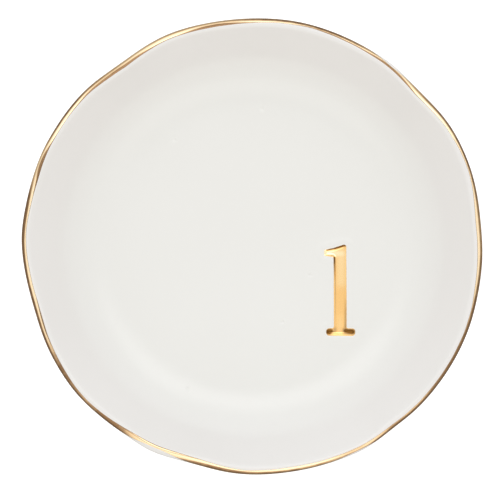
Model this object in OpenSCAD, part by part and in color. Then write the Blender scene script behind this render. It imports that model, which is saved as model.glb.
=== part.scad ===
// Handmade ceramic ring dish: a clay body with its foot ring, a white glaze over the well, the lip
// and the outside, a glazed base, a gilded rim and a gilded numeral pressed into the floor.
// Millimetres. +Z is up, the dish stands on z = 0, and the origin is under the middle of the rim.

/* [Dish] */
// Diameter of the rim over the glaze, before the finger pinches
rim_d = 111; // [104:1:130]
// Height from the table to the highest point of the glazed lip
dish_h = 18; // [16:0.5:24]
// Diameter of the level floor of the well
floor_d = 68; // [62:1:76]
// Radius of the bend from the floor up into the wall
bend_r = 18; // [12:0.5:22]
// Thickness of the floor with its glaze
floor_t = 3.4; // [2.6:0.1:4.5]
// Thickness of the round lip with its glaze
lip_t = 2.5; // [2:0.1:3.2]

/* [Foot ring] */
// Outside diameter of the foot ring
foot_d = 62; // [50:1:65]
// Width of the foot ring where it joins the base
foot_w = 3.2; // [2.2:0.2:5]
// Height of the foot ring below the glazed base
foot_h = 2.5; // [1.5:0.1:3.5]
// Width of the sloped edges that the foot ring was wiped to
foot_edge = 0.5; // [0.2:0.1:0.8]

/* [Glaze and gilding] */
// Thickness of the glaze
glaze_t = 0.3; // [0.2:0.05:0.4]
// Thickness of the gilding on the rim and in the numeral
gilding_t = 0.1; // [0.06:0.01:0.16]
// Inner edge of the rim gilding, in degrees around the lip from its crest
gilding_from = 5; // [-10:1:15]
// Outer edge of the rim gilding, in degrees around the lip from its crest
gilding_to = 106; // [90:1:118]
// How far the brush strayed towards the well at its worst, as a share of the way round the lip
brush_stray = 0.67; // [0:0.01:0.8]
// Inner edge of the rim gilding where it was brushed on lowest, in degrees around the lip
low_start = 30; // [10:1:40]

/* [Numeral] */
// Height of the numeral
numeral_h = 22.2; // [14:0.1:24]
// Width of the numeral's stem
stem_w = 3; // [2:0.1:4]
// Width of the numeral's foot
serif_w = 7; // [5.6:0.2:9]
// Height of the numeral's foot
serif_h = 1.7; // [1.2:0.1:2.6]
// How far the numeral's flag reaches past the stem
flag_reach = 2.3; // [1:0.1:3]
// How far the flag falls from the top of the stem to its tip
flag_drop = 1.5; // [1:0.1:3.4]
// Height of the flag's blunt tip
flag_tip = 1.3; // [0.7:0.1:1.6]
// How much lower the flag's underside is at the stem than at its tip
flag_root = 0.3; // [0.2:0.1:1.2]
// How far the flag's top edge sags below a straight line
flag_sag = 0.15; // [0:0.05:0.6]
// How far the numeral's foot is set to the right of its stem
serif_shift = 0.15; // [0:0.05:0.4]
// Depth of the numeral below the floor
numeral_depth = 0.6; // [0.4:0.1:1.2]
// Distance of the numeral's stem to the right of the dish's centre
numeral_x = 21.1; // [0:0.1:23]
// Distance of the numeral's foot in front of the dish's centre
numeral_y = 21.7; // [12:0.1:23]

/* [Handmade shape] */
// How far the deepest finger pinch bends the lip's crest inward
pinch_depth = 1.45; // [0:0.05:2]
// How far the lip rises and falls around the dish
lip_wave = 0.3; // [0:0.1:0.8]

/* [Hidden] */
$fn = 96;

// Finger pinches: direction in degrees, share of the deepest one, and spread in degrees. The wall
// bulges where a share is negative.
pinches = [
    [6, 0.42, 9],
    [43, 0.68, 8],
    [63, 0.42, 13],
    [95, 0.66, 21],
    [126, 0.9, 10],
    [144, 0.1, 8],
    [157, -0.08, 6],
    [177, -0.2, 6],
    [196, 0.62, 11],
    [212, 0.15, 6],
    [233, 0.57, 11],
    [243, -0.12, 5],
    [255, 0.92, 10],
    [275, 0.5, 14],
    [299, -0.17, 5],
    [308, 0.27, 6],
    [350, 0.25, 10]
];

// Brush strays: direction in degrees, share of brush_stray, and spread in degrees
inner_strays = [
    [163, 0.35, 8],
    [244, 1, 9],
    [299, 0.2, 7]
];
outer_strays = [
    [52, 1, 8],
    [244, 1.35, 9],
    [297, 1.05, 8]
];

// Where the gilding starts lower: direction in degrees, share of low_start, and spread in degrees
low_starts = [
    [20, 0.8, 9],
    [75, 0.8, 18],
    [222, 0.6, 12],
    [270, 0.5, 8],
    [325, 0.75, 12],
    [342, 0.6, 9]
];

// Steps around the dish, and along each stretch of its section
around_steps = 80;
bend_steps = 6;
wall_steps = 3;
lip_steps = 3;
band_steps = 5;

// Levels and radii that the section hangs on
rim_r = rim_d / 2;
floor_r = floor_d / 2;
foot_r = foot_d / 2;
lip_r = lip_t / 2;
base_z = foot_h;
floor_z = base_z + floor_t;

// A wall that touches both the bend and the lip needs a bend that leaves it enough room
wall_w = rim_r - lip_r - floor_r;
wall_h = dish_h - lip_r - floor_z;
room = (pow(wall_w, 2) + pow(wall_h, 2) - pow(lip_r, 2)) / (2 * (wall_h + lip_r));
bend = min(bend_r, 0.85 * room);

// Centres of the bend and of the round lip, as [radius, height]
bend_c = [floor_r, floor_z + bend];
lip_c = [rim_r - lip_r, dish_h - lip_r];

// The wall's two faces are lines that touch both circles: wall_in and wall_out are their slopes
to_lip = lip_c - bend_c;
lip_slope = atan2(to_lip[1], to_lip[0]);
outer_bend_r = bend + floor_t;
wall_in = lip_slope + asin((bend + lip_r) / norm(to_lip));
wall_out = lip_slope + asin((outer_bend_r - lip_r) / norm(to_lip));

// The lip is highest at two opposite directions, the first at this many degrees
wave_peaks = 2;
wave_turn = 20;

// A small overlap that makes joined or cut shapes cross cleanly
bite = 1;

function total(v, i = 0) = i == len(v) ? 0 : v[i] + total(v, i + 1);
function mix(a, b, t) = a + (b - a) * t;

// Angle between two directions, from -180 to 180
function turn_between(a, b) = (a - b + 540) % 360 - 180;

// Sum of soft bumps, each given as [direction, height, spread]
function bumps(list, a) = total([for (b = list) b[1] * exp(-pow(turn_between(a, b[0]) / b[2], 2))]);

// Point and outward normal on a circle, at an angle from straight up that grows outward
function on_round(c, r, angle) = [c + r * [sin(angle), cos(angle)], [sin(angle), cos(angle)]];

// Edges of the rim gilding at direction a, in degrees around the lip from its crest. Where the brush
// strayed, the inner edge nears the foot of the lip's round and the outer edge nears the crest.
function band_start(a) = mix(gilding_from, low_start, min(1, bumps(low_starts, a)));
function band_from(a) = mix(band_start(a), -wall_in, brush_stray * bumps(inner_strays, a));
function band_to(a) = mix(gilding_to, gilding_from, brush_stray * bumps(outer_strays, a));

// The glazed surface at direction a, as [[radius, height], normal], from the edge of the floor over
// the lip to the edge of the base. Every layer is made from these points, so that the layers meet.
function inner_bend() = [for (i = [0:bend_steps])
    let (slope = wall_in * i / bend_steps)
    [bend_c + bend * [sin(slope), -cos(slope)], [-sin(slope), cos(slope)]]];
function lip_span(from, to, steps) = [for (i = [0:steps - 1])
    on_round(lip_c, lip_r, mix(from, to, i / steps))];
function outer_bend() = [for (i = [0:bend_steps])
    let (slope = wall_out * (1 - i / bend_steps))
    [bend_c + outer_bend_r * [sin(slope), -cos(slope)], [sin(slope), -cos(slope)]]];
function straight(a, b) = [for (i = [1:wall_steps - 1])
    [mix(a[0], b[0], i / wall_steps), a[1]]];
function lip_round(a) = concat(
    lip_span(-wall_in, band_from(a), lip_steps),
    lip_span(band_from(a), band_to(a), band_steps),
    lip_span(band_to(a), 180 - wall_out, lip_steps),
    [on_round(lip_c, lip_r, 180 - wall_out)]);
function skin(a) =
    let (inside = inner_bend(), lip = lip_round(a), back = outer_bend())
    concat(inside, straight(inside[bend_steps], lip[0]), lip,
        straight(lip[len(lip) - 1], back[0]), back);

// The same surface moved out along its normals, or in where the distance is negative
function moved(list, distance) = [for (s = list) s[0] + distance * s[1]];
function reversed(list) = [for (i = [len(list) - 1:-1:0]) list[i]];

// The pinches bend the wall inward and the wave lowers it: not at all at the floor, fully at the crest
function share_of_bend(z) = pow(max(0, z - floor_z) / (dish_h - floor_z), 2);
function pinch(a) = pinch_depth * bumps(pinches, a);
function wave(a) = lip_wave * (1 - cos(wave_peaks * (a - wave_turn))) / 2;
function shaped(p, a) =
    let (share = share_of_bend(p[1]), r = p[0] - share * pinch(a))
    [r * cos(a), r * sin(a), p[1] - share * wave(a)];

directions = [for (k = [0:around_steps - 1]) 360 * k / around_steps];

// The pinched rim isn't quite centred on the foot ring, so the whole dish is moved by this much
rim = [for (a = directions) shaped([rim_r, lip_c[1]], a)];
rim_x = [for (p = rim) p[0]];
rim_y = [for (p = rim) p[1]];
rim_shift = -[max(rim_x) + min(rim_x), max(rim_y) + min(rim_y)] / 2;

// A solid turned from one section for each direction: ends capped, or a closed loop of section
module turned(sections, loop = false) {
    n = len(sections);
    m = len(sections[0]);
    points = [for (k = [0:n - 1]) for (p = sections[k]) shaped(p, directions[k])];
    sides = [for (k = [0:n - 1]) for (j = [0:m - (loop ? 1 : 2)])
        let (here = k * m, next = (k + 1) % n * m, up = (j + 1) % m)
        each [[here + j, next + j, next + up], [here + j, next + up, here + up]]];
    caps = loop ? [] : [
        [for (k = [n - 1:-1:0]) k * m],
        [for (k = [0:n - 1]) k * m + m - 1]];
    polyhedron(points, concat(sides, caps), convexity = 6);
}

// Outline of a plain numeral 1, counter-clockwise from the left end of its foot
sag_y = numeral_h - flag_drop * stem_w / (stem_w + flag_reach) - flag_sag;
numeral_outline = [
    [serif_shift - serif_w / 2, 0],
    [serif_shift + serif_w / 2, 0],
    [serif_shift + serif_w / 2, serif_h],
    [stem_w / 2, serif_h],
    [stem_w / 2, numeral_h],
    [-stem_w / 2, sag_y],
    [-stem_w / 2 - flag_reach, numeral_h - flag_drop],
    [-stem_w / 2 - flag_reach, numeral_h - flag_drop - flag_tip],
    [-stem_w / 2, numeral_h - flag_drop - flag_tip - flag_root],
    [-stem_w / 2, serif_h],
    [serif_shift - serif_w / 2, serif_h]
];

// The outline with every side moved out by a distance, or in where it is negative
function side_normal(a, b) = [b[1] - a[1], a[0] - b[0]] / norm(b - a);
function grown(outline, distance) = let (n = len(outline)) [for (i = [0:n - 1])
    let (
        before = side_normal(outline[(i + n - 1) % n], outline[i]),
        after = side_normal(outline[i], outline[(i + 1) % n]))
    outline[i] + distance * (before + after) / (1 + before * after)];

module numeral_prism(margin, bottom, top) {
    translate([numeral_x, -numeral_y, bottom])
        linear_extrude(top - bottom)
            polygon(grown(numeral_outline, margin));
}

module foot_ring() {
    inner_r = foot_r - foot_w;
    rotate_extrude()
        polygon([
            [inner_r, base_z + glaze_t + bite],
            [inner_r, foot_edge],
            [inner_r + foot_edge, 0],
            [foot_r - foot_edge, 0],
            [foot_r, foot_edge],
            [foot_r, base_z + glaze_t + bite]]);
}

// Fired clay: floor, wall and lip in one piece with the foot ring, and the pocket for the numeral
module dish_body() {
    color("#e6dccb")
        translate(rim_shift)
            difference() {
                union() {
                    turned([for (a = directions) moved(skin(a), -glaze_t)]);
                    foot_ring();
                }
                numeral_prism(glaze_t, floor_z - glaze_t - numeral_depth, floor_z + bite);
            }
}

// White glaze over the well, the lip and the outside, down to the bare foot ring
module glaze_coat() {
    edge_r = foot_r - bite;
    glaze_end = [[edge_r, base_z], [edge_r, base_z + glaze_t]];
    color("#f4f1ea")
        translate(rim_shift)
            difference() {
                union() {
                    turned([for (a = directions)
                        let (s = skin(a))
                        concat(moved(s, 0), glaze_end, reversed(moved(s, -glaze_t)))]);
                    numeral_prism(glaze_t, floor_z - glaze_t - numeral_depth, floor_z - glaze_t / 2);
                }
                numeral_prism(0, floor_z - numeral_depth, floor_z + bite);
                translate([0, 0, -bite])
                    cylinder(r = foot_r, h = base_z + glaze_t + 2 * bite);
            }
}

// White glaze on the base, inside the foot ring
module base_glaze() {
    color("#f1eee6")
        translate([rim_shift[0], rim_shift[1], base_z])
            cylinder(r = foot_r - foot_w, h = glaze_t);
}

// Gilding brushed over the crest and the outside of the lip
module rim_gilding() {
    first = bend_steps + wall_steps + lip_steps;
    color("#d2a04c")
        translate(rim_shift)
            turned([for (a = directions)
                let (s = skin(a), band = [for (i = [first:first + band_steps]) s[i]])
                concat(moved(band, gilding_t), reversed(moved(band, 0)))], loop = true);
}

// Gilding on the bottom and the sides of the numeral's pocket
module numeral_gilding() {
    color("#d8a856")
        translate(rim_shift)
            difference() {
                numeral_prism(0, floor_z - numeral_depth, floor_z);
                numeral_prism(-gilding_t, floor_z - numeral_depth + gilding_t, floor_z + bite);
            }
}

dish_body();
glaze_coat();
base_glaze();
rim_gilding();
numeral_gilding();
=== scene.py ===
"""A handmade white ceramic ring dish with a gilded rim and a gilded numeral in its floor.

The solids of the frame are dressed with finer meshes of the same layers: fired clay, glaze and
gilding. Lengths are in millimetres until a mesh is made, angles are in degrees, and directions
around the dish run counter-clockwise from +X.
"""
import math

import bpy
import numpy as np
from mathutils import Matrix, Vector, noise
from mathutils.geometry import delaunay_2d_cdt


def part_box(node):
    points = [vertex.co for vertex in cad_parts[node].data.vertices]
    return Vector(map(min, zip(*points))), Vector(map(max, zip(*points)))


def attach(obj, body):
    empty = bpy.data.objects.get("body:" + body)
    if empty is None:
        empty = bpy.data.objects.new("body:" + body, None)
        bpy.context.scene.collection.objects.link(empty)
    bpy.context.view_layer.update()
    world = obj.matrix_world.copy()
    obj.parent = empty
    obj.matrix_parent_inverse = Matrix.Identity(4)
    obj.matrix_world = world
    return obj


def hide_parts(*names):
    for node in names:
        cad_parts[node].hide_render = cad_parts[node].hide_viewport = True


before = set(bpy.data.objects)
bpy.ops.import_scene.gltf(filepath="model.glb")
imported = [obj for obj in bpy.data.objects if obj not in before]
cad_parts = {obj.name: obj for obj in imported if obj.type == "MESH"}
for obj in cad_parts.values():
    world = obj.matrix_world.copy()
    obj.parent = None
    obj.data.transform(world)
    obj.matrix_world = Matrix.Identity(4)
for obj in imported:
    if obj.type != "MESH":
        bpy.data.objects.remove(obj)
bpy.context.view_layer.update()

MM = 0.001

# The dish, as its solids have it
RIM_R = 55.5
DISH_H = 18.0
FLOOR_R = 34.0
BEND_R = 18.0
FLOOR_T = 3.4
LIP_R = 1.25
FOOT_R = 31.0
FOOT_W = 3.2
FOOT_H = 2.5
FOOT_EDGE = 0.5
GLAZE_T = 0.3
GILDING_FROM = 5.0
GILDING_TO = 106.0
BRUSH_STRAY = 0.67
PINCH_DEPTH = 1.45
LIP_WAVE = 0.3
WAVE_PEAKS = 2
WAVE_TURN = 20.0

# Finger pinches: direction, share of the deepest one, and spread
PINCHES = [
    (6, 0.42, 9), (43, 0.68, 8), (63, 0.42, 13), (95, 0.66, 21), (126, 0.9, 10), (144, 0.1, 8),
    (157, -0.08, 6), (177, -0.2, 6), (196, 0.62, 11), (212, 0.15, 6), (233, 0.57, 11),
    (243, -0.12, 5), (255, 0.92, 10), (275, 0.5, 14), (299, -0.17, 5), (308, 0.27, 6),
    (350, 0.25, 10),
]

# Brush strays at the gold's inner and outer edge: direction, share of BRUSH_STRAY, and spread
INNER_STRAYS = [(163, 0.35, 8), (244, 1.0, 9), (299, 0.2, 7)]
OUTER_STRAYS = [(52, 1.0, 8), (244, 1.45, 9), (284, 0.5, 6), (297, 1.0, 8)]

# Where the gold starts lower on the outside of the lip, and where painted dark reflection turns the
# gold brown
LOW_STARTS = [(20, 0.8, 9), (75, 0.8, 18), (225, 0.75, 12), (270, 0.5, 8), (308, 0.7, 7),
              (325, 0.7, 12), (342, 0.6, 9)]
LOW_START = 30.0
PAINTED_DARK_REFLECTIONS = [(214, 0.8, 8), (230, 0.95, 7), (247, 0.2, 9), (296, 0.35, 6), (308, 0.45, 5),
         (329, 0.75, 14)]

# Brown line along the inner edge of the rim's gold, partly the lustre thinning at its edge and partly
# painted dark reflection: direction, width in mm, and spread
INNER_LINES = [(52, 0.45, 8), (70, 0.15, 8), (100, 0.6, 7), (128, 0.58, 11), (159, 0.68, 5),
               (200, 0.25, 5), (245, 0.15, 9)]
INNER_LINE_MIN = 0.04

# Painted dark reflection: a brown line around the outside of the lip, between two angles around the
# lip, and its usual strength
OUTER_LINE_FROM = 36.0
OUTER_LINE_TO = 78.0
OUTER_LINE_SHARE = 0.72
LINE_FADE = 10.0

# Where that line is stronger or weaker: direction, by how much, and spread
OUTER_LINES = [(5, -0.15, 10), (51, -0.6, 10), (100, -0.4, 10), (122, -0.5, 12), (159, -0.6, 6),
               (176, 0.2, 12), (243, -0.7, 6), (290, -0.15, 9), (325, 0.25, 16)]

# Where that line starts earlier: direction, by how many degrees, and spread
WIDE_LINES = [(174, 16, 10), (262, 8, 8), (290, 10, 9), (335, 8, 20)]

# Thin gold along the outer edge: how brown, and over what width
EDGE_BROWN = 0.25
EDGE_BROWN_W = 0.15

# How the rim gold's edges waver, in degrees around the lip
WAVER_IN = 3.0
WAVER_OUT = 5.0
WAVER_FINENESS = 14.0

# The numeral
NUMERAL_H = 22.2
STEM_W = 3.0
SERIF_W = 7.0
SERIF_H = 1.7
FLAG_REACH = 2.3
FLAG_DROP = 1.5
FLAG_TIP = 1.3
FLAG_ROOT = 0.3
FLAG_SAG = 0.15
FLAG_SAG_ROUND = 3.0
SERIF_SHIFT = 0.15
NUMERAL_DEPTH = 0.6
NUMERAL_X = 21.1
NUMERAL_Y = -21.7

# Handmade looks that only the fine meshes have
FLOOR_DIP = 0.5
SWELL = 0.12
SWELL_LENGTH = 24.0
SWELL_SEED = 2
RIPPLE = 0.02
RIPPLE_LENGTH = 7.0
STAMP_SHOULDER = 0.25
STAMP_SLOPE = 0.8
END_RISE = 0.2
END_REACH = 7.0
ROCKING = 0.4
PILLOW_H = 0.08
PILLOW_AT = 1.0
PILLOW_W = 0.8
FILM = 0.05
FILM_LEAST = 0.004
FILM_RISE = 0.3
FILM_SUNK = 0.02
FILM_LAP = 0.06
LAP_WAVER = 0.05
LAP_WAVER_FINENESS = 1.2

# Dimples in the glaze: place, radius and depth
DIMPLES = [(-19.1, 25.9, 0.4, 0.16), (2.1, 33.3, 0.45, 0.1), (13.8, -7.0, 0.3, 0.24),
           (7.1, -18.4, 0.3, 0.24), (-15.9, -34.6, 0.4, 0.12)]

# Fineness: steps along each stretch of the section, then around it and across the floor
BEND_STEPS = 18
WALL_STEPS = 12
LIP_STEPS = (8, 12, 6)
OUTSIDE_STEPS = 8
BACK_STEPS = 14
CORNER_STEPS = 5
AROUND = 360
FINE_STEP = 0.12
DIMPLE_STEP = 0.16
DIMPLE_REACH = 1.1
MID_STEP = 0.3
COARSE_STEP = 1.2
MID_MARGIN = 3
FINE_MARGIN = 1
GOLD_STEPS_AROUND = 720
GOLD_STEPS_ACROSS = 20

# The floor's disc of triangles runs out to here, a little way up the bend
DISC_R = 40.5

# Levels and radii that the section hangs on
BASE_Z = FOOT_H
FLOOR_Z = BASE_Z + FLOOR_T
BEND_C = np.array([FLOOR_R, FLOOR_Z + BEND_R])
LIP_C = np.array([RIM_R - LIP_R, DISH_H - LIP_R])
OUTER_BEND_R = BEND_R + FLOOR_T
TO_LIP = LIP_C - BEND_C
LIP_SLOPE = math.degrees(math.atan2(TO_LIP[1], TO_LIP[0]))
TO_LIP_LENGTH = math.hypot(*TO_LIP)
WALL_IN = LIP_SLOPE + math.degrees(math.asin((BEND_R + LIP_R) / TO_LIP_LENGTH))
WALL_OUT = LIP_SLOPE + math.degrees(math.asin((OUTER_BEND_R - LIP_R) / TO_LIP_LENGTH))
DISC_SLOPE = math.degrees(math.asin((DISC_R - FLOOR_R) / BEND_R))

# The pinched rim isn't quite centred on the foot ring: the frame says where the foot's centre is
BASE_LOW, BASE_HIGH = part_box("base_glaze")
SHIFT = (np.array(BASE_LOW) + np.array(BASE_HIGH))[:2] / 2 / MM


def mix(a, b, t):
    return a + (b - a) * t


def smooth(t):
    t = np.clip(t, 0, 1)
    return t * t * (3 - 2 * t)


def bumps(bump_list, directions):
    """Sum of soft bumps, each given as (direction, height, spread)."""
    total = np.zeros_like(directions)
    for direction, height, spread in bump_list:
        turn = (directions - direction + 540) % 360 - 180
        total += height * np.exp(-(turn / spread) ** 2)
    return total


def bend_share(z):
    """How much of a pinch and of the wave reaches height z: none at the floor, all at the crest."""
    return (np.maximum(0, z - FLOOR_Z) / (DISH_H - FLOOR_Z)) ** 2


def on_round(centre, radius, angles):
    """Points and normals on a circle, at angles from straight up that grow outward."""
    turns = np.radians(angles)
    normals = np.stack([np.sin(turns), np.cos(turns)], axis=-1)
    return centre + radius * normals, normals


def band_edges(directions):
    """Inner and outer edge of the rim gilding, in degrees around the lip from its crest."""
    inner_stray = BRUSH_STRAY * bumps(INNER_STRAYS, directions)
    outer_stray = BRUSH_STRAY * bumps(OUTER_STRAYS, directions)
    start = mix(GILDING_FROM, LOW_START, np.minimum(1, bumps(LOW_STARTS, directions)))
    return mix(start, -WALL_IN, inner_stray), mix(GILDING_TO, GILDING_FROM, outer_stray)


def spans(edges, counts, last=True):
    """Angles that run from edge to edge, each stretch in its own count of steps."""
    parts = []
    for low, high, count in zip(edges, edges[1:], counts):
        shares = np.arange(count) / count
        parts.append(mix(low[:, None], high[:, None], shares[None, :]))
    if last:
        parts.append(edges[-1][:, None])
    return np.concatenate(parts, axis=1)


def straight(start, end, steps):
    """Points between two ends, without the ends, with the start's normal."""
    shares = (np.arange(1, steps) / steps)[None, :, None]
    points = mix(start[0][:, None, :], end[0][:, None, :], shares)
    normals = np.broadcast_to(start[1][:, None, :], points.shape)
    return points, normals


def join(*stretches):
    return tuple(np.concatenate(parts, axis=1) for parts in zip(*stretches))


def skin(directions):
    """The glazed section in each direction: points and normals from the disc's edge, over the lip,
    to the edge of the base, as arrays of (direction, station, (radius, height))."""
    flat = np.zeros_like(directions)
    bend_angles = spans([flat + 180 - DISC_SLOPE, flat + 180 - WALL_IN], [BEND_STEPS])
    bend, bend_normals = on_round(BEND_C, BEND_R, bend_angles)
    bend = (bend, -bend_normals)
    low, high = band_edges(directions)
    lip_angles = spans([flat - WALL_IN, low, high, flat + 180 - WALL_OUT], LIP_STEPS)
    lip = on_round(LIP_C, LIP_R, lip_angles)
    back_angles = spans([flat + 180 - WALL_OUT, flat + 180], [BACK_STEPS])
    back = on_round(BEND_C, OUTER_BEND_R, back_angles)
    ends = lambda stretch, i: (stretch[0][:, i], stretch[1][:, i])
    wall = straight(ends(bend, -1), ends(lip, 0), WALL_STEPS)
    outside = straight(ends(lip, -1), ends(back, 0), OUTSIDE_STEPS)
    return join(bend, wall, lip, outside, back)


def section(points, directions):
    """The same given (radius, height) stations in every direction."""
    return np.broadcast_to(np.array(points)[None], (len(directions), len(points), 2))


def corner(centre, radius, start, end, steps):
    """Stations on a round corner, from angle start to end, counted from straight up, outward."""
    turns = np.radians(np.linspace(start, end, steps + 1))
    return [(centre[0] + radius * math.sin(t), centre[1] + radius * math.cos(t)) for t in turns]


def placed(radius, height, directions):
    """Places at a radius, a height and a direction, with the rim's pinches and its wave."""
    share = bend_share(height)
    pinch = PINCH_DEPTH * bumps(PINCHES, directions)
    wave = LIP_WAVE * (1 - np.cos(np.radians(WAVE_PEAKS * (directions - WAVE_TURN)))) / 2
    turns = np.radians(directions)
    out = radius - share * pinch
    return np.stack([out * np.cos(turns), out * np.sin(turns), height - share * wave], axis=-1)


def shaped(stations, directions):
    """Swings the section around the dish: (station, direction, xyz)."""
    turns = np.broadcast_to(directions[:, None], stations.shape[:2])
    return placed(stations[..., 0], stations[..., 1], turns).transpose(1, 0, 2)


def dimple_depth(points):
    """How deep the glaze's dimples are at places seen from above."""
    depth = np.zeros(len(points))
    for x, y, radius, deep in DIMPLES:
        away = np.hypot(points[:, 0] - x, points[:, 1] - y)
        depth += deep * np.exp(-(away / radius) ** 2)
    return depth


def swollen(points):
    """Moves points by the slow swell and the fine ripple of a hand-formed surface, and onto the
    frame's centre. The resting face stays level."""
    moved = np.array(points, dtype=float)
    hold = np.clip(moved[:, 2] / (FLOOR_Z + GLAZE_T), 0, 1)
    for i, p in enumerate(points):
        swell = noise.noise_vector(Vector(p) / SWELL_LENGTH)
        ripple = noise.noise_vector(Vector(p) / RIPPLE_LENGTH)
        moved[i] += hold[i] * (SWELL * np.array(swell) + RIPPLE * np.array(ripple))
    moved[:, :2] += SHIFT
    return moved


def numeral_corners():
    """Outline of a plain numeral 1, counter-clockwise from the left end of its foot, with the
    radius that each corner is rounded to."""
    left = -STEM_W / 2
    tip = left - FLAG_REACH
    flag_top = NUMERAL_H - FLAG_DROP
    sag_y = NUMERAL_H - FLAG_DROP * STEM_W / (STEM_W + FLAG_REACH) - FLAG_SAG
    foot_left, foot_right = SERIF_SHIFT - SERIF_W / 2, SERIF_SHIFT + SERIF_W / 2
    corners = [
        (foot_left, 0, 0.7), (foot_right, 0, 0.7), (foot_right, SERIF_H, 0.7),
        (STEM_W / 2, SERIF_H, 0.5), (STEM_W / 2, NUMERAL_H, 0.5),
        (left, sag_y, FLAG_SAG_ROUND), (tip, flag_top, 0.35),
        (tip, flag_top - FLAG_TIP, 0.35), (left, flag_top - FLAG_TIP - FLAG_ROOT, 0.6),
        (left, SERIF_H, 0.5), (foot_left, SERIF_H, 0.7),
    ]
    return [(NUMERAL_X + x, NUMERAL_Y + y, radius) for x, y, radius in corners]


def rounded(corners, step):
    """A closed outline through the corners, each turned into an arc, with points a step apart."""
    stops = []
    count = len(corners)
    for i in range(count):
        before, here, after = (Vector(corners[(i + k) % count][:2]) for k in (-1, 0, 1))
        towards, away = (here - before).normalized(), (after - here).normalized()
        turn = towards.angle_signed(away)
        reach = corners[i][2] * math.tan(abs(turn) / 2)
        start = here - towards * reach
        side = Vector((-towards.y, towards.x)) * (-1 if turn > 0 else 1)
        centre = start + side * corners[i][2]
        steps = max(3, round(abs(turn) * corners[i][2] / step))
        for k in range(steps + 1):
            swing = -turn * k / steps
            arm = start - centre
            stops.append((centre.x + arm.x * math.cos(swing) - arm.y * math.sin(swing),
                          centre.y + arm.x * math.sin(swing) + arm.y * math.cos(swing)))
    outline = []
    for i, stop in enumerate(stops):
        after = stops[(i + 1) % len(stops)]
        steps = max(1, round(math.dist(stop, after) / step))
        outline += [tuple(mix(np.array(stop), np.array(after), k / steps)) for k in range(steps)]
    return np.array(outline)


OUTLINE = rounded(numeral_corners(), FINE_STEP)


def from_outline(points):
    """Distance of points from the numeral's outline: negative inside it."""
    starts, ends = OUTLINE, np.roll(OUTLINE, -1, axis=0)
    sides = ends - starts
    lengths = (sides ** 2).sum(axis=1)
    nearest = np.full(len(points), np.inf)
    inside = np.zeros(len(points), dtype=bool)
    for start, end, side, length in zip(starts, ends, sides, lengths):
        arms = points - start
        share = np.clip(arms @ side / length, 0, 1)
        nearest = np.minimum(nearest, ((arms - share[:, None] * side) ** 2).sum(axis=1))
        if start[1] != end[1]:
            crosses = (start[1] > points[:, 1]) != (end[1] > points[:, 1])
            inside ^= crosses & (arms[:, 0] < arms[:, 1] * side[0] / side[1])
    return np.where(inside, -1, 1) * np.sqrt(nearest)


def floor_slope(radius):
    """Slope of the plain well in radians: level across the floor, then up along the bend."""
    return np.arcsin(np.clip((radius - FLOOR_R) / BEND_R, 0, 1))


def floor_height(points):
    """Height of the glazed well near the floor: a shallow dip, the start of the bend, the numeral's
    soft pocket, deeper where the stamp rocked, and the low pillow of clay pushed up around it."""
    radius = np.hypot(points[:, 0], points[:, 1])
    dip = FLOOR_DIP * (1 + np.cos(np.pi * np.clip(radius / FLOOR_R, 0, 1))) / 2
    rise = BEND_R * (1 - np.cos(floor_slope(radius)))
    away = from_outline(points)
    top = smooth((points[:, 1] - NUMERAL_Y - NUMERAL_H + END_REACH) / END_REACH)
    foot = smooth((NUMERAL_Y + END_REACH - points[:, 1]) / END_REACH)
    across = np.clip((points[:, 0] - NUMERAL_X) / STEM_W * 2, -1, 1)
    along = np.clip((points[:, 1] - NUMERAL_Y) / NUMERAL_H * 2 - 1, -1, 1)
    tip = smooth((NUMERAL_X - STEM_W / 2 - points[:, 0]) / FLAG_REACH)
    depth = (NUMERAL_DEPTH - END_RISE * (top + foot + top * tip)) * (1 - ROCKING * across * along)
    pocket = depth * smooth((STAMP_SHOULDER - away) / (STAMP_SHOULDER + STAMP_SLOPE))
    pillow = PILLOW_H * np.exp(-((away - PILLOW_AT) / PILLOW_W) ** 2) * (away > -1)
    return FLOOR_Z + rise - dip - pocket + pillow - dimple_depth(points)


def grid(low, high, step):
    xs, ys = (np.arange(low[i], high[i] + step, step) for i in (0, 1))
    return np.stack(np.meshgrid(xs, ys), axis=-1).reshape(-1, 2)


def triangulate(points, loop_length, inside_only):
    """Delaunay triangles over points, of which the first loop_length form a closed outline."""
    edges = [(i, (i + 1) % loop_length) for i in range(loop_length)]
    made = delaunay_2d_cdt([Vector(p) for p in points], edges, [], 1 if inside_only else 0, 1e-6)
    faces, origins = made[2], made[3]
    renamed = [origin[0] for origin in origins]
    return [[renamed[i] for i in face] for face in faces]


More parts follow.
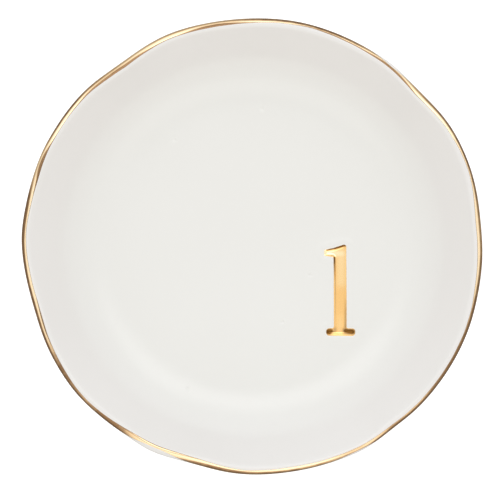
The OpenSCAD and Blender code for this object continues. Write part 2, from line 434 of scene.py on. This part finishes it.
def floor_points(directions):
    """Places across the disc, its edge first, then fine around the numeral's sides, and in rings
    along the bend."""
    turns = np.radians(directions)
    circle = np.stack([np.cos(turns), np.sin(turns)], axis=-1)
    edge = DISC_R * circle
    low, high = OUTLINE.min(axis=0), OUTLINE.max(axis=0)
    wide = grid((-FLOOR_R, -FLOOR_R), (FLOOR_R, FLOOR_R), COARSE_STEP)
    wide = wide[np.hypot(wide[:, 0], wide[:, 1]) < FLOOR_R - COARSE_STEP / 2]
    bend_rings = np.arange(FLOOR_R, DISC_R - COARSE_STEP / 2, COARSE_STEP / 2)
    wide = np.concatenate([wide] + [radius * circle for radius in bend_rings])
    near = grid(low - MID_MARGIN, high + MID_MARGIN, MID_STEP)
    close = grid(low - FINE_MARGIN, high + FINE_MARGIN, FINE_STEP)
    mid_reach, fine_low, fine_high = 2.4, -0.75, 0.45
    wide_away, near_away, close_away = (from_outline(p) for p in (wide, near, close))
    wide = wide[wide_away > mid_reach + MID_STEP]
    is_close = lambda away: (away > fine_low) & (away < fine_high)
    near = near[(near_away < mid_reach) & ~is_close(near_away)]
    close = close[is_close(close_away)]
    patches = []
    for x, y, _, _ in DIMPLES:
        if math.hypot(x, y) < DISC_R - DIMPLE_REACH - COARSE_STEP / 2:
            wide = wide[np.hypot(wide[:, 0] - x, wide[:, 1] - y) > DIMPLE_REACH + DIMPLE_STEP]
            patch = grid((x - DIMPLE_REACH, y - DIMPLE_REACH), (x + DIMPLE_REACH, y + DIMPLE_REACH),
                         DIMPLE_STEP)
            patches.append(patch[np.hypot(patch[:, 0] - x, patch[:, 1] - y) < DIMPLE_REACH])
    return np.concatenate([edge, wide, near, close] + patches)


def ring_faces(rings, around, closed=False):
    """Quads between rings of vertices, facing outward where the rings run over the lip."""
    faces = []
    for j in range(rings if closed else rings - 1):
        here, up = j * around, (j + 1) % rings * around
        for k in range(around):
            after = (k + 1) % around
            faces.append((here + k, up + k, up + after, here + after))
    return faces


def piece(name, points, faces, material, node, marks=None):
    """Makes one smooth piece from points in millimetres, rides it on the dish's body and puts it in
    the place of a CAD node. marks are named numbers for the points, which the material reads."""
    mesh = bpy.data.meshes.new(name)
    mesh.from_pydata((np.array(points) * MM).tolist(), [], faces)
    mesh.validate()
    mesh.polygons.foreach_set("use_smooth", [True] * len(mesh.polygons))
    for mark, numbers in (marks or {}).items():
        layer = mesh.attributes.new(mark, "FLOAT", "POINT")
        layer.data.foreach_set("value", np.array(numbers, dtype=np.float32))
    mesh.materials.append(material)
    made = bpy.data.objects.new(name, mesh)
    bpy.context.scene.collection.objects.link(made)
    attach(made, "root")
    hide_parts(node)
    return made


class Nodes:
    """A small helper that adds nodes to a tree and links them in one line."""

    def __init__(self, tree):
        self.tree = tree
        tree.nodes.clear()

    def add(self, kind, settings=None, **inputs):
        node = self.tree.nodes.new(kind)
        for name, value in (settings or {}).items():
            setattr(node, name, value)
        for name, value in inputs.items():
            self.feed(node, name.replace("_", " "), value)
        return node

    def feed(self, node, name, value):
        socket = node.inputs[int(name)] if str(name).isdigit() else node.inputs[name]
        if isinstance(value, bpy.types.NodeSocket):
            self.tree.links.new(value, socket)
        else:
            socket.default_value = value

    def math(self, operation, a, b=0.0):
        node = self.add("ShaderNodeMath", {"operation": operation})
        self.feed(node, 0, a)
        self.feed(node, 1, b)
        return node.outputs[0]

    def ramp(self, factor, stops):
        node = self.add("ShaderNodeValToRGB", Fac=factor)
        while len(node.color_ramp.elements) < len(stops):
            node.color_ramp.elements.new(0.5)
        for element, (place, colour) in zip(node.color_ramp.elements, stops):
            element.position = place
            element.color = (*colour, 1) if len(colour) == 3 else colour
        return node.outputs["Color"]

    def blend(self, factor, a, b, how="MIX"):
        node = self.add("ShaderNodeMix", {"data_type": "RGBA", "blend_type": how})
        self.feed(node, 0, factor)
        for socket, value in ((6, a), (7, b)):
            self.feed(node, socket, value if isinstance(value, bpy.types.NodeSocket) else (*value, 1))
        return node.outputs[2]


def material(name):
    made = bpy.data.materials.new(name)
    made.use_nodes = True
    return made, Nodes(made.node_tree)


# Light from the south and the north, then the sky low and high as it lights and as it is mirrored
WARM_LIGHT = (1.0, 0.97, 0.935)
COOL_LIGHT = (0.975, 0.995, 1.03)
LOW_SKY = (0.86, 0.825, 0.835)
HIGH_SKY = (1.0, 1.005, 1.0)
LOW_MIRRORED = (0.6, 0.6, 0.6)
HIGH_MIRRORED = (1.05, 1.05, 1.05)
LAMP_SHARE = 0.5

# Clay and glaze, each drifting between two tones
CLAY_COLOUR = (0.66, 0.58, 0.47)
CLAY_SHADE = (0.5, 0.43, 0.34)
GLAZE_COLOUR = (0.83, 0.824, 0.79)
GLAZE_SHADE = (0.815, 0.808, 0.773)

# Painted shade: up the wall the glaze is made a little darker and pinker, by this much between two
# heights
PAINTED_WALL_SHADE = (0.99, 0.976, 0.983)
WALL_SHADE_FROM = 7.0
WALL_SHADE_TO = 12.0

# Gold from its darkest brown, which stands both for thinly laid lustre and for painted shade and dark
# reflection, over thinly laid gold and gold that covers well, to its palest, which on the numeral is
# painted highlight
RIM_GOLDS = [(0.24, 0.14, 0.07), (0.62, 0.43, 0.24), (0.97, 0.77, 0.5), (0.98, 0.88, 0.68)]
NUMERAL_GOLDS = [(0.16, 0.07, 0.014), (0.55, 0.34, 0.14), (0.91, 0.56, 0.215), (0.98, 0.84, 0.52)]
GOLD_STEPS = (0.2, 0.48, 0.8, 1.0)


def glaze_material():
    """Warm white glaze: a slow drift of tone, painted shade that makes it a little darker and pinker up
    the wall, and a faint orange-peel surface.
    """
    made, nodes = material("white_glaze")
    place = nodes.add("ShaderNodeTexCoord").outputs["Object"]
    drift = nodes.add("ShaderNodeTexNoise", Vector=place, Scale=45.0, Detail=2.0)
    peel = nodes.add("ShaderNodeTexNoise", Vector=place, Scale=420.0, Detail=1.0)
    colour = nodes.blend(drift.outputs["Fac"], GLAZE_SHADE, GLAZE_COLOUR)
    parts = nodes.add("ShaderNodeSeparateXYZ", Vector=place)
    # Painted shade: the glaze darker and pinker up the wall
    up_wall = nodes.add("ShaderNodeMapRange", Value=parts.outputs["Z"], From_Min=WALL_SHADE_FROM * MM,
                        From_Max=WALL_SHADE_TO * MM)
    colour = nodes.blend(up_wall.outputs["Result"], colour,
                         nodes.blend(1.0, colour, PAINTED_WALL_SHADE, how="MULTIPLY"))
    bump = nodes.add("ShaderNodeBump", Strength=0.03, Distance=0.0004, Height=peel.outputs["Fac"])
    shader = nodes.add("ShaderNodeBsdfPrincipled", Base_Color=colour, Roughness=0.28, IOR=1.5,
                       Normal=bump.outputs["Normal"])
    nodes.add("ShaderNodeOutputMaterial", Surface=shader.outputs["BSDF"])
    return made


def clay_material():
    """Bare fired clay with a sandy grain."""
    made, nodes = material("bare_clay")
    place = nodes.add("ShaderNodeTexCoord").outputs["Object"]
    grain = nodes.add("ShaderNodeTexNoise", Vector=place, Scale=900.0, Detail=3.0)
    colour = nodes.ramp(grain.outputs["Fac"], [(0.3, CLAY_SHADE), (0.7, CLAY_COLOUR)])
    bump = nodes.add("ShaderNodeBump", Strength=0.5, Distance=0.0002, Height=grain.outputs["Fac"])
    shader = nodes.add("ShaderNodeBsdfPrincipled", Base_Color=colour, Roughness=0.85,
                       Normal=bump.outputs["Normal"])
    nodes.add("ShaderNodeOutputMaterial", Surface=shader.outputs["BSDF"])
    return made


def gilding_material(name, golds):
    """Fired gold lustre: polished, with faint brush streaks, and brown where it is thinly laid and
    where shade and dark reflections are painted on. The mark it reads is 1 at the darkest brown, 0
    where the gold covers well and -1 at its palest, which is painted highlight."""
    made, nodes = material(name)
    place = nodes.add("ShaderNodeTexCoord").outputs["Object"]
    thin_gold_and_painted_light = nodes.add("ShaderNodeAttribute", {"attribute_name": "thin_gold_and_painted_light"}).outputs["Fac"]
    streak = nodes.add("ShaderNodeTexNoise", Vector=place, Scale=500.0, Detail=2.0)
    ragged = nodes.math("MULTIPLY_ADD", streak.outputs["Fac"], 0.5)
    ragged.node.inputs[2].default_value = -0.25
    # Streaks break up the brown of thinly laid gold and of painted shade alike
    ragged_thin_and_shade = nodes.math("MULTIPLY", ragged, nodes.math("MAXIMUM", thin_gold_and_painted_light, 0.0))
    below = nodes.math("MULTIPLY", nodes.math("MAXIMUM", thin_gold_and_painted_light, 0.0), GOLD_STEPS[2])
    above = nodes.math("MULTIPLY", nodes.math("MINIMUM", thin_gold_and_painted_light, 0.0), GOLD_STEPS[3] - GOLD_STEPS[2])
    from_well_covered = nodes.math("ADD", nodes.math("ADD", below, above), ragged_thin_and_shade)
    tone_place = nodes.math("SUBTRACT", GOLD_STEPS[2], from_well_covered)
    colour = nodes.ramp(tone_place, list(zip(GOLD_STEPS, golds)))
    bump = nodes.add("ShaderNodeBump", Strength=0.06, Distance=0.0002, Height=streak.outputs["Fac"])
    shader = nodes.add("ShaderNodeBsdfPrincipled", Base_Color=colour, Metallic=1.0, Roughness=0.16,
                       Normal=bump.outputs["Normal"])
    nodes.add("ShaderNodeOutputMaterial", Surface=shader.outputs["BSDF"])
    return made


# The swell is the same in each run
noise.seed_set(SWELL_SEED)

DIRECTIONS = np.arange(AROUND) * 360.0 / AROUND
FLOOR = floor_points(DIRECTIONS)
FLOOR_FACES = triangulate(FLOOR, AROUND, inside_only=False)
FLOOR_TOP = floor_height(FLOOR)


def disc_layer(drop):
    """Places across the disc, sunk into it by drop."""
    radius = np.hypot(FLOOR[:, 0], FLOOR[:, 1])
    slope = floor_slope(radius)
    height = FLOOR_TOP - drop * np.cos(slope)
    directions = np.degrees(np.arctan2(FLOOR[:, 1], FLOOR[:, 0]))
    return placed(radius + drop * np.sin(slope), height, directions)


def disc_faces(first_ring, first_inner, up):
    """The floor's triangles, on the vertices of a ring and of the places inside it."""
    number = lambda i: first_ring + i if i < AROUND else first_inner + i - AROUND
    faces = [[number(i) for i in face] for face in FLOOR_FACES]
    flat = lambda face: np.cross(FLOOR[face[1]] - FLOOR[face[0]], FLOOR[face[2]] - FLOOR[face[0]])
    turned = []
    for face, made in zip(FLOOR_FACES, faces):
        turned.append(made if (flat(face) > 0) == up else made[::-1])
    return turned


def glaze_coat(material_made):
    """The white glaze over the well, the lip and the outside, to a soft edge on the foot ring."""
    points, normals = skin(DIRECTIONS)
    fillet_r, edge_z = 0.9, 1.55
    fillet = corner((FOOT_R + GLAZE_T + fillet_r, BASE_Z - fillet_r), fillet_r, 0, -90, CORNER_STEPS)
    tip = corner((FOOT_R + GLAZE_T / 2, edge_z), GLAZE_T / 2, 90, 270, CORNER_STEPS)
    inner_corner = [(FOOT_R, BASE_Z + GLAZE_T)]
    end = section(fillet + tip + inner_corner, DIRECTIONS)
    under = (points - GLAZE_T * normals)[:, ::-1]
    stations = np.concatenate([points, end, under], axis=1)
    rings = shaped(stations, DIRECTIONS)
    shell = rings.reshape(-1, 3)
    top, bottom = disc_layer(0)[AROUND:], disc_layer(GLAZE_T)[AROUND:]
    faces = ring_faces(len(rings), AROUND)
    last_ring = (len(rings) - 1) * AROUND
    faces += disc_faces(0, len(shell), up=True)
    faces += disc_faces(last_ring, len(shell) + len(top), up=False)
    verts = swollen(np.concatenate([shell, top, bottom]))
    return piece("glaze_layer", verts, faces, material_made, "glaze_coat")


def dish_body(material_made):
    """Fired clay under the glaze, with its bare foot ring."""
    points, normals = skin(DIRECTIONS)
    inner_r = FOOT_R - FOOT_W
    foot = [(FOOT_R, BASE_Z + GLAZE_T)]
    foot += corner((FOOT_R - FOOT_EDGE, FOOT_EDGE), FOOT_EDGE, 90, 180, CORNER_STEPS)
    foot += corner((inner_r + FOOT_EDGE, FOOT_EDGE), FOOT_EDGE, 180, 270, CORNER_STEPS)
    foot += [(inner_r, BASE_Z + GLAZE_T), (inner_r / 2, BASE_Z + GLAZE_T)]
    stations = np.concatenate([points - GLAZE_T * normals, section(foot, DIRECTIONS)], axis=1)
    rings = shaped(stations, DIRECTIONS)
    shell = rings.reshape(-1, 3)
    top = disc_layer(GLAZE_T)[AROUND:]
    faces = ring_faces(len(rings), AROUND)
    faces += disc_faces(0, len(shell), up=True)
    faces.append([(len(rings) - 1) * AROUND + k for k in reversed(range(AROUND))])
    verts = swollen(np.concatenate([shell, top]))
    return piece("clay_body", verts, faces, material_made, "dish_body")


def base_glaze(material_made):
    """The glaze on the base, inside the foot ring, with a rolled edge down the ring's inside."""
    inner_r = FOOT_R - FOOT_W
    fillet_r, edge_z = 0.9, 1.5
    stations = [(inner_r / 2, BASE_Z + GLAZE_T), (inner_r, BASE_Z + GLAZE_T)]
    stations += corner((inner_r - GLAZE_T / 2, edge_z), GLAZE_T / 2, 90, 270, CORNER_STEPS)
    fillet_c = (inner_r - GLAZE_T - fillet_r, BASE_Z - fillet_r)
    stations += corner(fillet_c, fillet_r, 90, 0, CORNER_STEPS)
    stations += [(inner_r * share, BASE_Z) for share in (0.8, 0.6, 0.4, 0.2)]
    rings = shaped(section(stations, DIRECTIONS), DIRECTIONS)
    faces = ring_faces(len(rings), AROUND)
    faces.append(list(range(AROUND)))
    faces.append([(len(rings) - 1) * AROUND + k for k in reversed(range(AROUND))])
    verts = swollen(rings.reshape(-1, 3))
    return piece("base_glaze_layer", verts, faces, material_made, "base_glaze")


def waver(directions, level):
    """Noise around a circle, another one at each level."""
    turns = np.radians(directions)
    places = [Vector((math.cos(t), math.sin(t), level)) * WAVER_FINENESS for t in turns]
    return np.array([noise.noise(place) for place in places])


def rim_gilding(material_made):
    """The gold brushed around the lip: a film that thins to nothing at both edges."""
    directions = np.arange(GOLD_STEPS_AROUND) * 360.0 / GOLD_STEPS_AROUND
    low, high = band_edges(directions)
    low, high = low + WAVER_IN * waver(directions, 0), high + WAVER_OUT * waver(directions, 5)
    angles = spans([low, high], [GOLD_STEPS_ACROSS])
    surface, normals = on_round(LIP_C, LIP_R, angles)
    shares = np.linspace(0, 1, GOLD_STEPS_ACROSS + 1)[None, :]
    film = FILM * np.sqrt(np.clip(4 * shares * (1 - shares), 0, 1)) + FILM_LEAST
    width = np.radians(high - low)[:, None] * LIP_R
    # Brown at the gold's inner edge: the lustre thinning there, widened by painted dark reflection
    inner_line = (INNER_LINE_MIN + bumps(INNER_LINES, directions))[:, None]
    inner_thinning_and_shade = 1 - smooth(shares * width / inner_line - 0.5)
    # Painted dark reflection on the outer side of the lip, where it faces sideways and down
    outer_line = np.clip(OUTER_LINE_SHARE + bumps(OUTER_LINES, directions), 0, 1)[:, None]
    line_from = OUTER_LINE_FROM - bumps(WIDE_LINES, directions)[:, None]
    into_line = smooth((angles - line_from) / LINE_FADE + 0.5)
    out_of_line = smooth((OUTER_LINE_TO - angles) / LINE_FADE + 0.5)
    outer_painted_dark = outer_line * into_line * out_of_line
    thin_edge = EDGE_BROWN * (1 - smooth((1 - shares) * width / EDGE_BROWN_W))
    # Painted dark reflection in some directions around the rim
    painted_dark_reflection = np.minimum(1, bumps(PAINTED_DARK_REFLECTIONS, directions))[:, None] + np.zeros_like(shares)
    thin_gold_and_painted_light = np.maximum.reduce([inner_thinning_and_shade, outer_painted_dark, thin_edge, painted_dark_reflection])
    stations = np.concatenate([surface + film[..., None] * normals,
                               (surface - FILM_SUNK * normals)[:, ::-1]], axis=1)
    rings = shaped(stations, directions)
    marks = np.concatenate([thin_gold_and_painted_light, thin_gold_and_painted_light[:, ::-1]], axis=1).T.reshape(-1)
    faces = ring_faces(len(rings), GOLD_STEPS_AROUND, closed=True)
    verts = swollen(rings.reshape(-1, 3))
    return piece("gilded_rim", verts, faces, material_made, "rim_gilding", {"thin_gold_and_painted_light": marks})


def thin_spots():
    """Painted shade and dark reflection in the numeral's gold, brown along sides and ends of its
    pocket: strokes from end to end, each with a width and the strength at either end."""
    left, right = NUMERAL_X - STEM_W / 2, NUMERAL_X + STEM_W / 2
    tip = left - FLAG_REACH
    foot_left = NUMERAL_X + SERIF_SHIFT - SERIF_W / 2
    foot_right = foot_left + SERIF_W
    top = NUMERAL_Y + NUMERAL_H
    flag_top = top - FLAG_DROP
    flag_bottom = flag_top - FLAG_TIP
    sag_top = top - FLAG_DROP * STEM_W / (STEM_W + FLAG_REACH) - FLAG_SAG
    shelf = NUMERAL_Y + SERIF_H
    return [
        ((tip + 0.6, flag_top), (left + 0.2, sag_top), 0.26, 0.8, 1.1),
        ((left + 0.2, sag_top), (right - 0.3, top - 0.2), 0.36, 1.1, 1.3),
        ((tip + 0.5, flag_bottom), (left - 0.4, flag_bottom - 0.1), 0.2, 0.7, 0.7),
        ((left + 0.12, flag_bottom - 0.5), (left + 0.12, shelf + 12), 0.28, 1.0, 0.15),
        ((right - 0.1, shelf + 8), (right - 0.2, shelf), 0.34, 0.0, 0.5),
        ((foot_left + 0.65, shelf - 0.8), (left - 0.1, shelf - 0.4), 0.75, 1.4, 0.5),
        ((right - 0.1, shelf - 0.6), (foot_right - 0.7, shelf - 0.75), 0.78, 1.0, 1.0),
    ]


def pale_spots():
    """Painted highlights in the numeral's gold, where it is palest, as strokes like those of the
    painted shade.
    """
    tip = NUMERAL_X - STEM_W / 2 - FLAG_REACH
    flag = NUMERAL_Y + NUMERAL_H - FLAG_DROP - FLAG_TIP / 2
    return [
        ((tip, flag), (NUMERAL_X + 0.4, flag - 0.2), 1.0, 1.2, 0.8),
        ((NUMERAL_X + 0.3, flag), (NUMERAL_X + 0.3, flag - 7), 1.4, 0.45, 0.35),
        ((NUMERAL_X, NUMERAL_Y + 4), (NUMERAL_X, NUMERAL_Y + 1), 0.9, 0.1, 0.2),
    ]


def stroke_share(points, start, end, width, first, last):
    """How much of a soft stroke from start to end reaches each point."""
    side = np.array(end) - np.array(start)
    share = np.clip((points - start) @ side / (side @ side), 0, 1)
    away = np.linalg.norm(points - start - share[:, None] * side, axis=1)
    return mix(first, last, share) * np.exp(-(away / width) ** 2)


def numeral_gilding(material_made):
    """The gold in the numeral's pocket: a film over the bottom and the sides, to its shoulder."""
    after = np.roll(OUTLINE, -1, axis=0) - np.roll(OUTLINE, 1, axis=0)
    outward = np.stack([after[:, 1], -after[:, 0]], axis=-1)
    outward /= np.linalg.norm(outward, axis=1)[:, None]
    lap = FILM_LAP * np.ones(len(OUTLINE))
    for i, p in enumerate(OUTLINE):
        lap[i] += LAP_WAVER * noise.noise(Vector((p[0], p[1], 0)) * LAP_WAVER_FINENESS)
    loop = OUTLINE + lap[:, None] * outward
    low, high = loop.min(axis=0), loop.max(axis=0)
    inner = grid(low, high, FINE_STEP)
    inner = inner[from_outline(inner) < FILM_LAP - FINE_STEP]
    flat = np.concatenate([loop, inner])
    faces = triangulate(flat, len(loop), inside_only=True)
    height = floor_height(flat)
    inset = FILM_LAP - from_outline(flat)
    film = FILM * smooth(inset / FILM_RISE) + FILM_LEAST
    top = np.column_stack([flat, height + film])
    bottom = np.column_stack([flat, height - FILM_SUNK])
    count = len(flat)
    made = []
    for a, b, c in faces:
        up = np.cross(flat[b] - flat[a], flat[c] - flat[a]) > 0
        made += [(a, b, c), (c + count, b + count, a + count)] if up else [
            (c, b, a), (a + count, b + count, c + count)]
    for i in range(len(loop)):
        j = (i + 1) % len(loop)
        made.append((j, i, i + count, j + count))
    # Brown painted shade from its strokes, less where painted highlights lie over it
    thin_gold_and_painted_light = np.maximum.reduce([stroke_share(flat, *spot) for spot in thin_spots()])
    # Painted highlights: the palest gold of the numeral
    pale = np.maximum.reduce([stroke_share(flat, *spot) for spot in pale_spots()])
    thin_gold_and_painted_light = np.clip(thin_gold_and_painted_light - pale * (1 - np.minimum(1, thin_gold_and_painted_light)), -1, 1)
    verts = swollen(np.concatenate([top, bottom]))
    return piece("gilded_numeral", verts, made, material_made, "numeral_gilding",
                 {"thin_gold_and_painted_light": np.concatenate([thin_gold_and_painted_light, thin_gold_and_painted_light])})


def dome(nodes, parts, heights, low, high, sides, lean):
    """Light of the sky by direction: from a low colour to a high one between two heights, with more
    from the north and south sides, and a lean towards the north."""
    rise = nodes.add("ShaderNodeMapRange", {"interpolation_type": "SMOOTHSTEP"},
                     Value=parts.outputs["Z"])
    for name, value in zip(("From Min", "From Max"), heights):
        rise.inputs[name].default_value = value
    north = parts.outputs["Y"]
    both = nodes.math("MULTIPLY_ADD", nodes.math("MULTIPLY", north, north), sides)
    nodes.feed(both.node, 2, 1.0)
    leaned = nodes.math("MULTIPLY_ADD", north, lean)
    nodes.feed(leaned.node, 2, both)
    light = nodes.blend(1.0, nodes.blend(rise.outputs["Result"], low, high), leaned, how="MULTIPLY")
    share = nodes.math("MULTIPLY_ADD", north, 0.5)
    nodes.feed(share.node, 2, 0.5)
    tint = nodes.blend(share, WARM_LIGHT, COOL_LIGHT)
    return nodes.blend(1.0, tint, light, how="MULTIPLY")


def softbox(name, place, size, radiance):
    """A rectangular lamp that faces the dish, for its reflections only."""
    lamp = bpy.data.lights.new(name, "AREA")
    lamp.shape = "RECTANGLE"
    lamp.size, lamp.size_y = size
    lamp.energy = radiance * math.pi * size[0] * size[1] * LAMP_SHARE
    made = bpy.data.objects.new(name, lamp)
    made.location = place
    made.rotation_euler = Vector(place).to_track_quat("Z", "Y").to_euler()
    made.visible_camera = False
    made.visible_diffuse = False
    bpy.context.scene.collection.objects.link(made)


def studio():
    """A pale floor, a soft dome of light that dims towards the horizon, two lamps for reflections,
    and the camera straight above. The camera sees the floor paler, and the sky in one plain grey."""
    scene = bpy.context.scene
    scene.view_settings.view_transform = "Standard"
    world = bpy.data.worlds.new("studio")
    scene.world = world
    world.use_nodes = True
    nodes = Nodes(world.node_tree)
    direction = nodes.add("ShaderNodeTexCoord").outputs["Generated"]
    parts = nodes.add("ShaderNodeSeparateXYZ", Vector=direction)
    lighting = nodes.add("ShaderNodeBackground", Strength=1.045,
                         Color=dome(nodes, parts, (0.0, 0.5), LOW_SKY, HIGH_SKY, 0.0, 0.12))
    mirrored = nodes.add("ShaderNodeBackground", Strength=1.0,
                         Color=dome(nodes, parts, (-0.05, 0.25), LOW_MIRRORED, HIGH_MIRRORED, 0.6, 0.0))
    backdrop = nodes.add("ShaderNodeBackground", Color=(0.95, 0.95, 0.95, 1), Strength=1.0)
    path = nodes.add("ShaderNodeLightPath")
    lit = nodes.add("ShaderNodeMixShader", Fac=path.outputs["Is Glossy Ray"])
    nodes.feed(lit, 1, lighting.outputs[0])
    nodes.feed(lit, 2, mirrored.outputs[0])
    both = nodes.add("ShaderNodeMixShader", Fac=path.outputs["Is Camera Ray"])
    nodes.feed(both, 1, lit.outputs[0])
    nodes.feed(both, 2, backdrop.outputs[0])
    nodes.add("ShaderNodeOutputWorld", Surface=both.outputs[0])

    softbox("north_softbox", (0.0, 0.43, 1.07), (1.2, 0.5), 2.6)
    softbox("south_softbox", (0.0, -0.54, 1.02), (1.2, 0.5), 1.2)

    floor_half = 4.0
    corners = [(-floor_half, -floor_half, 0), (floor_half, -floor_half, 0),
               (floor_half, floor_half, 0), (-floor_half, floor_half, 0)]
    mesh = bpy.data.meshes.new("floor")
    mesh.from_pydata(corners, [], [(0, 1, 2, 3)])
    floor = bpy.data.objects.new("floor", mesh)
    scene.collection.objects.link(floor)
    made, nodes = material("floor")
    path = nodes.add("ShaderNodeLightPath")
    diffuse = nodes.add("ShaderNodeBsdfDiffuse", Color=(0.9, 0.9, 0.9, 1))
    glow = nodes.add("ShaderNodeEmission", Color=(1, 1, 1, 1), Strength=0.5)
    lit = nodes.add("ShaderNodeAddShader")
    nodes.feed(lit, 0, diffuse.outputs[0])
    nodes.feed(lit, 1, glow.outputs[0])
    dark = nodes.add("ShaderNodeBsdfDiffuse", Color=(0.6, 0.57, 0.53, 1))
    seen = nodes.add("ShaderNodeMixShader", Fac=path.outputs["Is Camera Ray"])
    nodes.feed(seen, 1, diffuse.outputs[0])
    nodes.feed(seen, 2, lit.outputs[0])
    mirrored = nodes.add("ShaderNodeMixShader", Fac=path.outputs["Is Glossy Ray"])
    nodes.feed(mirrored, 1, seen.outputs[0])
    nodes.feed(mirrored, 2, dark.outputs[0])
    nodes.add("ShaderNodeOutputMaterial", Surface=mirrored.outputs[0])
    mesh.materials.append(made)

    # The photograph's frame, 500 pixels across, takes in frame_w at the height of the rim
    frame_w = 120.2 * MM
    aim = Vector((-0.52, -0.87, 0)) * MM
    camera = bpy.data.objects.new("camera", bpy.data.cameras.new("camera"))
    camera.data.lens = 300
    camera.data.sensor_width = 36
    distance = camera.data.lens / camera.data.sensor_width * frame_w
    camera.location = aim + Vector((0, 0, LIP_C[1] * MM + distance))
    camera.data.clip_end = 10
    scene.collection.objects.link(camera)
    scene.camera = camera


studio()
glaze = glaze_material()
glaze_coat(glaze)
dish_body(clay_material())
base_glaze(glaze)
rim_gilding(gilding_material("rim_gold_lustre", RIM_GOLDS))
numeral_gilding(gilding_material("numeral_gold_lustre", NUMERAL_GOLDS))
